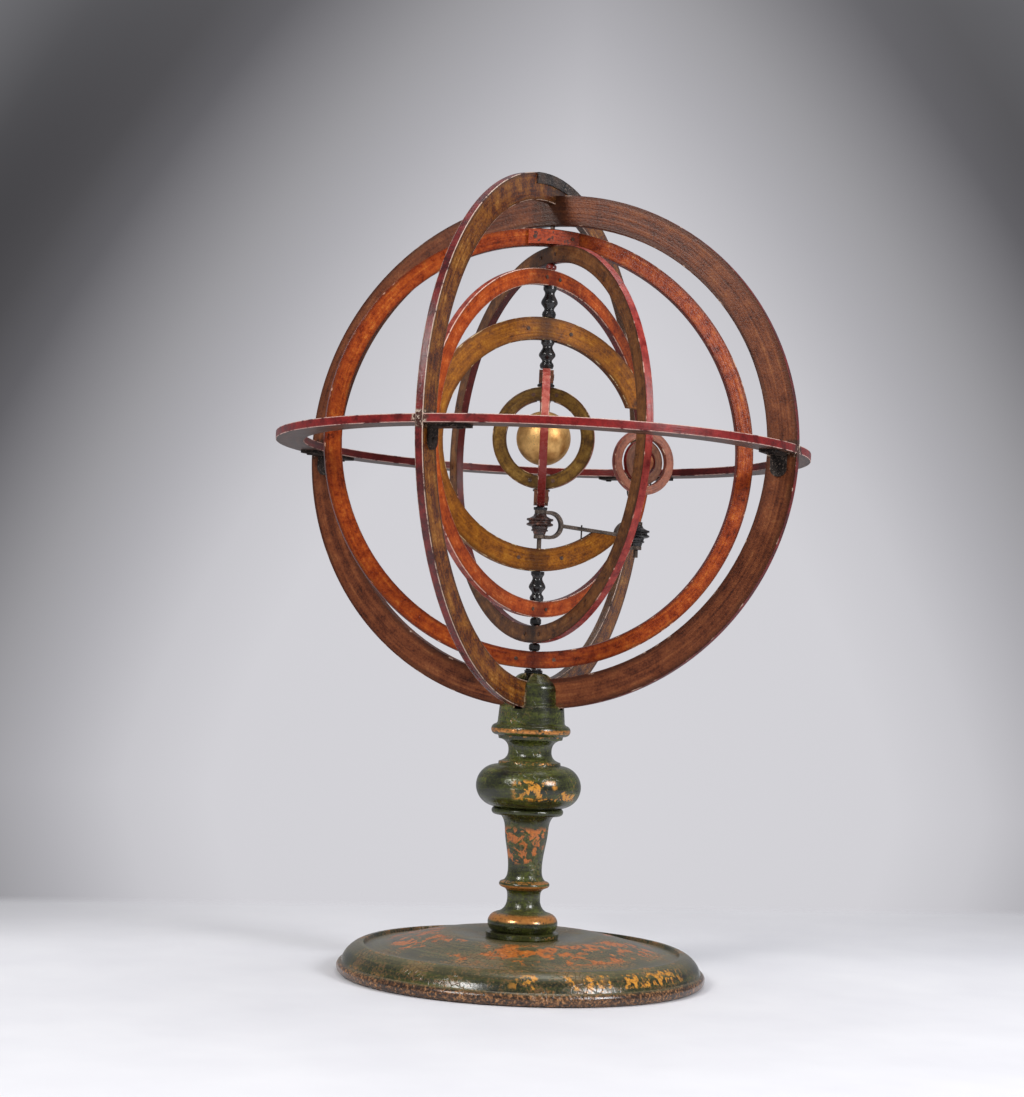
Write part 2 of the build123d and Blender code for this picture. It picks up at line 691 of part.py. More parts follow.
for ring in planet_rings:
    plane = upright(ring["azimuth"])
    with BuildPart() as ring_band:
        flat_ring(plane, ring["outer"], ring["outer"], ring["width"], ring_thickness,
                  (ring_shift(ring), ring["middle"]))
        bore(hole_radius, ring["bottom"] - 1, ring["top"] + 1)
        file_seats(ring)
        nail_holes(ring)
        if ring["name"] == "earth":
            open_earth_ring()
            bore(wire_radius + slip, ring["inner_bottom"] - 3, sun_height,
                 at=(wire_reach * cos(radians(ring["azimuth"])),
                     wire_reach * sin(radians(ring["azimuth"]))))
    save(ring_band.part, ring["name"] + "_ring")

    with BuildPart() as ring_cheeks:
        for end, face in cheek_faces[ring["name"]]:
            half_length = ring["nail"] + cheek_past_nail
            with BuildSketch(upright(ring["azimuth"], face * ring_thickness / 2)):
                with Locations((ring_shift(ring), ring["middle"])):
                    Circle(ring["outer"] - cheek_inset)
                    Circle(ring["inner"] + cheek_inset, mode=Mode.SUBTRACT)
                with Locations((0, ring["middle"] + end * ring["outer"] / 2)):
                    Rectangle(2 * half_length, ring["outer"], mode=Mode.INTERSECT)
            extrude(amount=face * cheek_thickness)
        nail_holes(ring)
        file_seats(ring)
    save(ring_cheeks.part, ring["name"] + "_cheeks")

    with BuildPart() as ring_nails:
        for index, spot in enumerate(nail_spots(ring)):
            end = 1 if index < 2 else -1
            faces = [face for cheek_end, face in cheek_faces[ring["name"]] if cheek_end == end]
            front = ring_thickness / 2 + (cheek_thickness if 1 in faces else 0)
            with BuildSketch(upright(ring["azimuth"], front)):
                with Locations(spot):
                    Circle(nail_head_radius)
            extrude(amount=nail_head_height)
            with BuildSketch(upright(ring["azimuth"], front)):
                with Locations(spot):
                    Circle(nail_radius)
            extrude(amount=-(front + ring_thickness / 2 - 0.5))
    save(ring_nails.part, ring["name"] + "_nails")

# ------------------------------------------------------------------ earth's carriage
earth_plane = upright(earth["azimuth"])
earth_out = earth_plane.x_dir


def on_spindle(out, height):
    """A point at a distance from the rod in the earth ring's plane."""
    return earth_out * out + Vector(0, 0, height)


def fork(middle_out, middle_height, side):
    """One C-shaped fork of the arm, opening away from the bar; side is +1 or -1."""
    bend = middle_out + side * arm_throat
    inner = fork_bend - arm_thickness / 2
    outer = fork_bend + arm_thickness / 2
    with BuildSketch(earth_plane) as bow:
        with Locations((bend, middle_height)):
            Circle(outer)
        with Locations(((middle_out + bend) / 2, middle_height)):
            Rectangle(arm_throat, 2 * outer)
        with Locations((bend, middle_height)):
            Circle(inner, mode=Mode.SUBTRACT)
        with Locations((middle_out + side * (arm_throat / 2 - arm_eye_radius), middle_height)):
            Rectangle(arm_throat + 2 * arm_eye_radius, 2 * inner, mode=Mode.SUBTRACT)
    extrude(bow.sketch, amount=arm_depth / 2, both=True)
    for eye_low in (middle_height - outer, middle_height + inner):
        spot = on_spindle(middle_out, eye_low)
        with BuildSketch(Plane.XY.offset(eye_low)) as eye:
            with Locations((spot.X, spot.Y)):
                Circle(arm_eye_radius)
        extrude(eye.sketch, amount=arm_thickness)


with BuildPart() as carriage_arm:
    fork(0, pulley_middle, 1)
    fork(spindle_out, outer_fork_middle, -1)
    bar_start = fork_reach - arm_thickness / 2
    bar_end = spindle_out - bar_start
    half = arm_thickness / 2
    with BuildSketch(earth_plane):
        with BuildLine():
            Polyline((bar_start, pulley_middle - half), (bar_end, outer_fork_middle - half),
                     (bar_end, outer_fork_middle + half), (bar_start, pulley_middle + half),
                     close=True)
        make_face()
    extrude(amount=arm_depth / 2, both=True)
    bore(hole_radius, pulley_middle - 2 * fork_bend, pulley_middle + 2 * fork_bend)
    spindle_spot = on_spindle(spindle_out, 0)
    bore(hole_radius, outer_fork_middle - 2 * fork_bend, outer_fork_middle + 2 * fork_bend,
         at=(spindle_spot.X, spindle_spot.Y))
    wire_spot = on_spindle(wire_reach, 0)
    bore(wire_radius + slip, pulley_middle - 2 * arm_thickness - arm_drop,
         pulley_middle + 2 * arm_thickness, at=(wire_spot.X, wire_spot.Y))

with BuildPart() as carriage_wire:
    ring_low = earth["middle"] - sqrt(earth["inner"] ** 2 - (wire_reach - earth_ring_shift) ** 2)
    with BuildSketch(Plane.XY.offset(ring_low - 2.0)):
        with Locations((wire_spot.X, wire_spot.Y)):
            Circle(wire_radius)
    extrude(amount=fork_height(wire_reach) + 3.0 - ring_low + 2.0)

# The spindle: its foot hangs below the outer fork, and its neck is let into the meridian.
neck_base = meridian_height - sqrt(meridian_radius ** 2 - meridian_offset ** 2)
ferrule_top = neck_base - end_play
with BuildPart() as earth_spindle:
    spindle_low = outer_fork_middle - fork_bend - arm_thickness / 2 - spindle_foot
    with BuildSketch(Plane.XY.offset(spindle_low)):
        with Locations((spindle_spot.X, spindle_spot.Y)):
            Circle(rod_radius)
    extrude(amount=ferrule_top - spindle_low)
    with BuildSketch(Plane.XY.offset(ferrule_top - ferrule_height)):
        with Locations((spindle_spot.X, spindle_spot.Y)):
            Circle(ferrule_radius)
    extrude(amount=ferrule_height, taper=12)
    with BuildSketch(Plane.XY.offset(ferrule_top - 1)):
        with Locations((spindle_spot.X, spindle_spot.Y)):
            Circle(spindle_neck_radius)
    extrude(amount=spindle_neck_length + 1)

with BuildPart() as spindle_pulley:
    pulley(outer_fork_middle - pulley_height / 2, at=(spindle_spot.X, spindle_spot.Y))

# The earth's own axle leans in the meridian's plane; every piece on it shares this frame.
axle_dir = earth_out * -sin(radians(axle_tilt)) + Vector(0, 0, cos(radians(axle_tilt)))
axle_side = earth_out * cos(radians(axle_tilt)) + Vector(0, 0, sin(radians(axle_tilt)))
axle_plane = Plane(origin=on_spindle(meridian_out, meridian_height), x_dir=axle_side,
                   z_dir=axle_dir)


def bore_axle(radius, half_length):
    with BuildSketch(axle_plane.offset(-half_length)) as hole:
        Circle(radius)
    extrude(hole.sketch, amount=2 * half_length, mode=Mode.SUBTRACT)


with BuildPart() as meridian_ring:
    flat_ring(earth_plane, meridian_radius, meridian_radius, meridian_width,
              meridian_thickness, (meridian_out, meridian_height))
    bore(spindle_neck_radius + slip, neck_base - meridian_width,
         ferrule_top + spindle_neck_length + slip, at=(spindle_spot.X, spindle_spot.Y))
    bore_axle(axle_radius + slip, meridian_radius + 1)

with BuildPart() as earth_axle:
    with BuildSketch(axle_plane.offset(-meridian_radius)):
        Circle(axle_radius)
    extrude(amount=2 * meridian_radius + 0.3)
    with BuildSketch(axle_plane.offset(meridian_radius + 0.1)):
        Circle(axle_head_radius)
    extrude(amount=1.2)

with BuildPart() as moon_ring:
    turned = axle_plane.rotated((0, 0, moon_ring_turn))
    tilted = Plane(origin=axle_plane.origin, x_dir=turned.x_dir, z_dir=turned.y_dir)
    flat_ring(tilted, moon_ring_radius, moon_ring_radius, moon_ring_width,
              moon_ring_thickness, (0, 0))
    bore_axle(axle_radius + run, moon_ring_radius + 1)

with BuildPart() as earth_ball:
    with BuildSketch(Plane(origin=axle_plane.origin, x_dir=axle_side, z_dir=-axle_plane.y_dir)):
        with BuildLine():
            CenterArc((0, 0), globe_radius, -90, 180)
            Line((0, -globe_radius), (0, globe_radius))
        make_face()
    revolve(axis=Axis(axle_plane.origin, axle_dir))
    bore_axle(axle_radius + run, 2 * globe_radius)

save(carriage_arm.part, "carriage_arm")
save(carriage_wire.part, "carriage_wire")
save(earth_spindle.part, "earth_spindle")
save(spindle_pulley.part, "spindle_pulley")
save(meridian_ring.part, "meridian_ring")
save(earth_axle.part, "earth_axle")
save(moon_ring.part, "moon_ring")
save(earth_ball.part, "earth_ball")
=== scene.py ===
import math

import bpy
from mathutils import Matrix, Vector


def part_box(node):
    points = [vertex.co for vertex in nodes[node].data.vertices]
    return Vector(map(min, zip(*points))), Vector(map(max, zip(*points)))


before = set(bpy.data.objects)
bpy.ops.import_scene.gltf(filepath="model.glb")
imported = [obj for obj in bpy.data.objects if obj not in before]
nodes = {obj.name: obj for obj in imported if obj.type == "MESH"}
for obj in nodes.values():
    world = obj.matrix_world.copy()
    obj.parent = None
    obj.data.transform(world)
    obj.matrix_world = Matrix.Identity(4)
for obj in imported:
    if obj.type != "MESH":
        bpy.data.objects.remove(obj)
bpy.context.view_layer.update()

# ---------------------------------------------------------------- base disc
# A flat turned disc of soft wood with a stepped rim and a low dome, painted dark green
# over a brown ground. Its edges are rubbed to the ground and to old gilding, and worn
# leaf ornament in orange and gold runs round the dome and the sloping ring.

def paint(red, green, blue):
    """A paint colour from its 0 to 255 values as seen, in the linear form that shaders use."""
    def linear(value):
        share = value / 255
        return share / 12.92 if share <= 0.04045 else ((share + 0.055) / 1.055) ** 2.4
    return (linear(red), linear(green), linear(blue), 1.0)


def put(tree, kind, inputs=None, output=0, **settings):
    """Add a shader node, fill its inputs with values or sockets, and return one output."""
    node = tree.nodes.new("ShaderNode" + kind)
    for name, value in settings.items():
        setattr(node, name, value)
    for key, value in (inputs or {}).items():
        if isinstance(value, bpy.types.NodeSocket):
            tree.links.new(value, node.inputs[key])
        else:
            node.inputs[key].default_value = value
    return node.outputs[output]


def split(tree, vector):
    """The x, y and z of a vector."""
    node = tree.nodes.new("ShaderNodeSeparateXYZ")
    tree.links.new(vector, node.inputs[0])
    return node.outputs


def calc(tree, operation, *values):
    return put(tree, "Math", dict(enumerate(values)), operation=operation)


def ease(tree, value, low, high):
    """0 below low, 1 above high and smooth between; low above high turns it round."""
    return put(tree, "MapRange", {0: value, 1: low, 2: high}, interpolation_type="SMOOTHSTEP")


def over(tree, mask, under, top):
    """Lay one colour over another where the mask is 1."""
    return put(tree, "Mix", {0: mask, 6: under, 7: top}, output=2, data_type="RGBA")


def grain(tree, vector, scale, detail=4.0, roughness=0.55, distortion=0.0, turn=None):
    inputs = {"Vector": vector, "Scale": scale, "Detail": detail, "Roughness": roughness,
              "Distortion": distortion}
    if turn is not None:
        inputs["W"] = turn
    return put(tree, "TexNoise", inputs, noise_dimensions="3D" if turn is None else "4D")


def shades(tree, value, *stops):
    """A colour ramp from (place, colour) stops."""
    node = tree.nodes.new("ShaderNodeValToRGB")
    ramp = node.color_ramp
    while len(ramp.elements) < len(stops):
        ramp.elements.new(1.0)
    for element, (place, colour) in zip(ramp.elements, stops):
        element.position = place
        element.color = colour
    tree.links.new(value, node.inputs[0])
    return node.outputs[0]


def start_group(name, inputs, outputs):
    """A node group with named sockets; returns the group, its inputs and its outputs."""
    tree = bpy.data.node_groups.new(name, "ShaderNodeTree")
    kinds = {"value": "NodeSocketFloat", "colour": "NodeSocketColor", "vector": "NodeSocketVector"}
    for label, kind in inputs:
        tree.interface.new_socket(name=label, in_out="INPUT", socket_type=kinds[kind])
    for label, kind in outputs:
        tree.interface.new_socket(name=label, in_out="OUTPUT", socket_type=kinds[kind])
    given = tree.nodes.new("NodeGroupInput").outputs
    return tree, given, tree.nodes.new("NodeGroupOutput").inputs


def use_group(tree, group, values):
    node = tree.nodes.new("ShaderNodeGroup")
    node.node_tree = group
    for key, value in values.items():
        if isinstance(value, bpy.types.NodeSocket):
            tree.links.new(value, node.inputs[key])
        else:
            node.inputs[key].default_value = value
    return node.outputs


def start_finish(name):
    """A new material; returns it, its node tree and its shader's inputs."""
    material = bpy.data.materials.new(name)
    material.use_nodes = True
    return material, material.node_tree, material.node_tree.nodes["Principled BSDF"].inputs


def raise_surface(tree, height, strength, distance):
    return put(tree, "Bump", {"Height": height, "Strength": strength, "Distance": distance})


def dress(name, material):
    """Give a CAD piece its finish; its shape stays as it came."""
    for slot in nodes[name].material_slots:
        slot.material = material


def wear_group():
    """Patches, streaks round the axis, fine grain and crackle for anything turned on a lathe,
    and the height, radius, angle and upward facing that place its other marks."""
    outputs = [(label, "value") for label in ("Patches", "Streaks", "Fine", "Crackle",
                                              "Height", "Radius", "Angle", "Up")]
    tree, _, out = start_group("turned_wood_wear", [], outputs)
    place = put(tree, "TexCoord", output="Object")
    x, y, z = split(tree, place)
    facing = split(tree, put(tree, "TexCoord", output="Normal"))
    radius = calc(tree, "SQRT", calc(tree, "ADD", calc(tree, "MULTIPLY", x, x),
                                     calc(tree, "MULTIPLY", y, y)))
    angle = calc(tree, "ARCTAN2", y, x)
    change_around, lines_a_metre = 1.4, 420.0
    round_about = put(tree, "CombineXYZ", {
        0: calc(tree, "MULTIPLY", calc(tree, "COSINE", angle), change_around),
        1: calc(tree, "MULTIPLY", calc(tree, "SINE", angle), change_around),
        2: calc(tree, "MULTIPLY", z, lines_a_metre)})
    across = calc(tree, "MULTIPLY", radius, lines_a_metre)
    tree.links.new(grain(tree, place, 34.0, 6.0, 0.62), out["Patches"])
    tree.links.new(grain(tree, round_about, 1.0, 5.0, 0.6, turn=across), out["Streaks"])
    tree.links.new(grain(tree, place, 520.0, 4.0, 0.65), out["Fine"])
    cells = put(tree, "TexVoronoi", {"Vector": place, "Scale": 210.0}, feature="DISTANCE_TO_EDGE")
    tree.links.new(ease(tree, cells, 0.09, 0.0), out["Crackle"])
    tree.links.new(z, out["Height"])
    tree.links.new(radius, out["Radius"])
    tree.links.new(angle, out["Angle"])
    tree.links.new(facing[2], out["Up"])
    return tree


turned_wear = wear_group()


def leaf_group():
    """Worn leaf ornament: clusters of painted flakes inside a band, most of them rubbed away."""
    tree, given, out = start_group("leaf_ornament", [("Across", "value"), ("Scale", "value")],
                                   [("Leaves", "value"), ("Tone", "value")])
    place = put(tree, "TexCoord", output="Object")
    flakes = grain(tree, place, given["Scale"], 8.0, 0.72, 0.6)
    lobes = put(tree, "TexVoronoi", {"Vector": place, "Scale": calc(
        tree, "MULTIPLY", given["Scale"], 1.6), "Randomness": 0.9})
    leaf = ease(tree, calc(tree, "SUBTRACT", flakes, calc(tree, "MULTIPLY", lobes, 0.20)),
                0.40, 0.43)
    clusters = grain(tree, place, calc(tree, "MULTIPLY", given["Scale"], 0.34), 3.0, 0.5)
    together = ease(tree, clusters, 0.44, 0.50)
    band = ease(tree, calc(tree, "ADD", calc(tree, "ABSOLUTE", given["Across"]), calc(
        tree, "MULTIPLY", flakes, 0.6)), 1.35, 1.05)
    leaves = calc(tree, "MULTIPLY", calc(tree, "MULTIPLY", leaf, together), band)
    tone = grain(tree, place, calc(tree, "MULTIPLY", given["Scale"], 3.0), 4.0, 0.7)
    tree.links.new(leaves, out["Leaves"])
    tree.links.new(tone, out["Tone"])
    return tree


leaf_ornament = leaf_group()

green_dark = paint(18, 20, 9)
green_mid = paint(54, 58, 20)
green_bright = paint(90, 100, 30)
brown_ground = paint(112, 76, 46)
worn_gilt = paint(184, 96, 40)
bright_gilt = paint(236, 170, 92)
leaf_orange = paint(190, 106, 38)
leaf_gold = paint(208, 142, 48)
# A pale grey for level, upward-facing lacquer: partly a settled dusty film, partly painted sheen
# where light falls.
dust_and_sheen_colour = paint(156, 146, 114)
band_brown = paint(104, 66, 40)


def lacquer(name, gilt_heights, dust_and_sheen, leaf_bands=(), bare_below=0.0, scuffed=0.6, slots=None):
    """Dark green lacquer on turned wood.

    gilt_heights are (height, half width, strength) of rings rubbed to gilding, and
    leaf_bands are (Height or Radius, its middle, half width, flakes a metre, orange or gold,
    and the sector kept, as the cosine of its half angle round the side facing lower right).
    scuffed is how much of the brown ground shows through, dust how much pale grey lies on
    level, upward-facing parts, partly a settled dusty film and partly painted sheen from
    the light above, and bare_below the height under which the wood is bare.
    slots is (half width, foot) of crossed saw slots whose edges are chipped to bare wood.
    """
    sector_turn, chip_reach = 0.62, 0.0016
    material, tree, shader = start_finish(name)
    wear = use_group(tree, turned_wear, {})
    height, patches, streaks, fine = (wear[k] for k in ("Height", "Patches", "Streaks", "Fine"))
    mixed = calc(tree, "ADD", calc(tree, "MULTIPLY", streaks, 0.3), calc(
        tree, "MULTIPLY", patches, 0.5))
    mixed = calc(tree, "ADD", mixed, calc(tree, "MULTIPLY", fine, 0.25))
    colour = shades(tree, mixed, (0.43, green_dark), (0.53, green_mid), (0.64, green_bright))
    scuffs = calc(tree, "ADD", calc(tree, "MULTIPLY", fine, 0.5), calc(
        tree, "MULTIPLY", patches, 0.6))
    rubbed = ease(tree, scuffs, 0.68 - 0.12 * scuffed, 0.76 - 0.12 * scuffed)
    colour = over(tree, calc(tree, "MULTIPLY", rubbed, 0.7), colour, brown_ground)
    # Level, upward-facing parts turn pale grey: partly a settled dusty film, partly painted sheen
    # where light falls.
    settled_dust_and_sheen = calc(tree, "MULTIPLY", ease(tree, wear["Up"], 0.55, 0.95),
                   calc(tree, "MULTIPLY", streaks, dust_and_sheen))
    colour = over(tree, settled_dust_and_sheen, colour, dust_and_sheen_colour)
    for measure, middle, half, scale, orange, sector in leaf_bands:
        leaves = use_group(tree, leaf_ornament, {"Across": calc(tree, "DIVIDE", calc(
            tree, "SUBTRACT", wear[measure], middle), half), "Scale": scale})
        main = leaf_orange if orange else leaf_gold
        tone = shades(tree, leaves["Tone"], (0.36, paint(112, 60, 28)), (0.47, main), (0.62, main),
                      (0.74, bright_gilt))
        around = calc(tree, "COSINE", calc(tree, "ADD", wear["Angle"], sector_turn))
        kept = calc(tree, "MULTIPLY", leaves["Leaves"], ease(
            tree, around, sector - 0.06, sector + 0.06))
        colour = over(tree, calc(tree, "MULTIPLY", kept, 0.95), colour, tone)
    gilt = 0.0
    for middle, half, strength in gilt_heights:
        near = ease(tree, calc(tree, "ABSOLUTE", calc(tree, "SUBTRACT", height, middle)),
                    half, half * 0.35)
        rough_spots = calc(tree, "ADD", calc(tree, "MULTIPLY", fine, 0.55), calc(
            tree, "MULTIPLY", patches, 0.45))
        worn = calc(tree, "MULTIPLY", near, ease(tree, rough_spots, 0.60 - 0.22 * strength,
                                                 0.68 - 0.22 * strength))
        gilt = calc(tree, "MAXIMUM", gilt, worn)
    colour = over(tree, calc(tree, "MULTIPLY", gilt, 0.9), colour,
                  over(tree, fine, worn_gilt, bright_gilt))
    if bare_below > 0:
        low = ease(tree, calc(tree, "ADD", height, calc(tree, "MULTIPLY", patches, 0.003)),
                   bare_below + 0.003, bare_below)
        bare = shades(tree, calc(tree, "ADD", calc(tree, "MULTIPLY", mixed, 0.4), calc(
            tree, "MULTIPLY", fine, 0.55)), (0.42, paint(40, 26, 18)), (0.5, band_brown),
                      (0.58, paint(182, 130, 82)))
        colour = over(tree, calc(tree, "MULTIPLY", low, 0.85), colour, bare)
    if slots is not None:
        place = put(tree, "TexCoord", output="Object")
        sides = put(tree, "VectorMath", {0: place}, operation="ABSOLUTE")
        x, y, _ = split(tree, sides)
        from_slot = calc(tree, "ABSOLUTE", calc(
            tree, "SUBTRACT", calc(tree, "MINIMUM", x, y), slots[0]))
        chipped = ease(tree, calc(tree, "ADD", from_slot, calc(
            tree, "MULTIPLY", calc(tree, "SUBTRACT", fine, 0.5), 0.006)),
                       chip_reach, chip_reach / 2)
        chipped = calc(tree, "MULTIPLY", chipped, ease(tree, height, slots[1], slots[1] + 0.001))
        chipped = calc(tree, "MULTIPLY", chipped, ease(tree, patches, 0.42, 0.54))
        wood = shades(tree, fine, (0.42, paint(84, 52, 30)), (0.6, paint(196, 168, 130)))
        colour = over(tree, calc(tree, "MULTIPLY", chipped, 0.85), colour, wood)
    cracks = calc(tree, "MULTIPLY", wear["Crackle"], ease(tree, patches, 0.45, 0.6))
    colour = over(tree, calc(tree, "MULTIPLY", cracks, 0.45), colour, paint(22, 20, 14))
    tree.links.new(colour, shader["Base Color"])
    rough = calc(tree, "ADD", 0.10, calc(tree, "MULTIPLY", patches, 0.26))
    tree.links.new(calc(tree, "MULTIPLY", gilt, 0.55), shader["Metallic"])
    tree.links.new(rough, shader["Roughness"])
    shader["Specular IOR Level"].default_value = 0.6
    uneven = calc(tree, "ADD", calc(tree, "MULTIPLY", streaks, 0.6), calc(
        tree, "MULTIPLY", fine, 0.25))
    uneven = calc(tree, "SUBTRACT", uneven, calc(tree, "MULTIPLY", cracks, 0.6))
    tree.links.new(raise_surface(tree, uneven, strength=0.7, distance=0.0004), shader["Normal"])
    return material


# Every cosine is above this one, so the leaves that have it go all the way round.
all_round = -1.1
base_finish = lacquer(
    "base_green_lacquer",
    gilt_heights=[(0.0225, 0.0009, 0.25), (0.0105, 0.0008, 0.2)],
    leaf_bands=[("Radius", 0.080, 0.022, 70.0, True, all_round),
                ("Height", 0.0160, 0.0050, 150.0, False, 0.86)],
    bare_below=0.0085, scuffed=1.25, dust_and_sheen=0.4)
dress("base_disc", base_finish)

# ---------------------------------------------------------------- stand column
# One turned baluster of wood, tenoned into the base, lacquered in the same green. Its
# beads are gilt where hands and dusters have rubbed them, and the taper and the bulb
# keep patches of copper-coloured ornament.

column_finish = lacquer(
    "column_green_lacquer",
    gilt_heights=[(0.0450, 0.0034, 0.95), (0.0672, 0.0022, 0.95), (0.0712, 0.0012, 0.6),
                  (0.1195, 0.002, 0.25), (0.1600, 0.0015, 0.4), (0.0318, 0.0014, 0.3)],
    leaf_bands=[("Height", 0.0985, 0.0150, 150.0, True, all_round),
                ("Height", 0.1410, 0.0085, 150.0, False, 0.7)],
    dust_and_sheen=0.2)
dress("stand_column", column_finish)

# ---------------------------------------------------------------- ring seat
# The turned cup and round-headed knob on top of the column. Two slots sawn across it
# hold the feet of the upright rings; its moulding is rubbed to gilding.

seat_finish = lacquer(
    "seat_green_lacquer",
    gilt_heights=[(0.1836, 0.0020, 0.8), (0.1795, 0.0010, 0.35), (0.1910, 0.0008, 0.1)],
    dust_and_sheen=0.2, slots=(0.0031, 0.2005))
dress("ring_seat", seat_finish)

# ---------------------------------------------------------------- upright rings
# Two flat rings sawn from thin wood and halved into each other at the top and the foot.
# Varnished brown paper covers their faces; their edges are painted crimson and rubbed
# pale along the corners.

def lath_group(name, level):
    """Masks and grain for a flat ring: which side of it a point is on, and how the grain runs.

    level says whether the ring lies flat; otherwise it stands at an azimuth.
    """
    inputs = [("Azimuth", "value"), ("Middle", "value"), ("Shift", "value"), ("Squash", "value"),
              ("Outer", "value"), ("Width", "value"), ("Thickness", "value"),
              ("Streak length", "value"), ("Streak pitch", "value"), ("Mottle size", "value")]
    outputs = [(label, "value") for label in ("Outer edge", "Inner edge", "Arris", "Streaks",
                                              "Mottle", "Fine", "Out", "Up", "Across")]
    tree, given, out = start_group(name, inputs, outputs)
    place = put(tree, "TexCoord", output="Object")
    turn = calc(tree, "MULTIPLY", given["Azimuth"], -1.0)
    spun = put(tree, "VectorRotate", {"Vector": place, "Angle": turn}, rotation_type="Z_AXIS")
    spun_normal = put(tree, "VectorRotate", {
        "Vector": put(tree, "TexCoord", output="Normal"), "Angle": turn}, rotation_type="Z_AXIS")
    x, y, z = split(tree, spun)
    face_x, face_y, face_z = split(tree, spun_normal)
    rise = calc(tree, "SUBTRACT", z, given["Middle"])
    sideways = calc(tree, "SUBTRACT", x, given["Shift"])
    if level:
        up, thick, face_up = y, rise, face_y
    else:
        up, thick, face_up = calc(tree, "MULTIPLY", rise, given["Squash"]), y, face_z
    radius = calc(tree, "SQRT", calc(tree, "ADD", calc(tree, "MULTIPLY", sideways, sideways),
                                     calc(tree, "MULTIPLY", up, up)))
    cosine, sine = calc(tree, "DIVIDE", sideways, radius), calc(tree, "DIVIDE", up, radius)
    outwards = calc(tree, "ADD", calc(tree, "MULTIPLY", face_x, cosine),
                    calc(tree, "MULTIPLY", face_up, sine))
    to_outer = calc(tree, "ABSOLUTE", calc(tree, "SUBTRACT", given["Outer"], radius))
    from_inner = calc(tree, "SUBTRACT", radius, calc(
        tree, "SUBTRACT", given["Outer"], given["Width"]))
    to_face = calc(tree, "ABSOLUTE", calc(tree, "SUBTRACT", calc(
        tree, "MULTIPLY", given["Thickness"], 0.5), calc(tree, "ABSOLUTE", thick)))
    arris = calc(tree, "MAXIMUM", calc(tree, "MINIMUM", to_outer, calc(
        tree, "ABSOLUTE", from_inner)), to_face)
    stretch = calc(tree, "DIVIDE", given["Outer"], given["Streak length"])
    pitch = given["Streak pitch"]
    along = put(tree, "CombineXYZ", {0: calc(tree, "MULTIPLY", cosine, stretch),
                                     1: calc(tree, "MULTIPLY", sine, stretch),
                                     2: calc(tree, "DIVIDE", radius, pitch)})
    results = {
        "Outer edge": ease(tree, outwards, 0.45, 0.75),
        "Inner edge": ease(tree, outwards, -0.45, -0.75),
        "Arris": arris,
        "Streaks": grain(tree, along, 1.0, 6.0, 0.62, turn=calc(tree, "DIVIDE", thick, pitch)),
        "Mottle": grain(tree, place, calc(tree, "DIVIDE", 1.0, given["Mottle size"]), 6.0, 0.62),
        "Fine": grain(tree, place, 620.0, 3.0, 0.65),
        "Out": sideways, "Up": up,
        "Across": calc(tree, "DIVIDE", from_inner, given["Width"]),
    }
    for label, socket in results.items():
        tree.links.new(socket, out[label])
    return tree


upright_lath = lath_group("upright_lath", level=False)
level_lath = lath_group("level_lath", level=True)


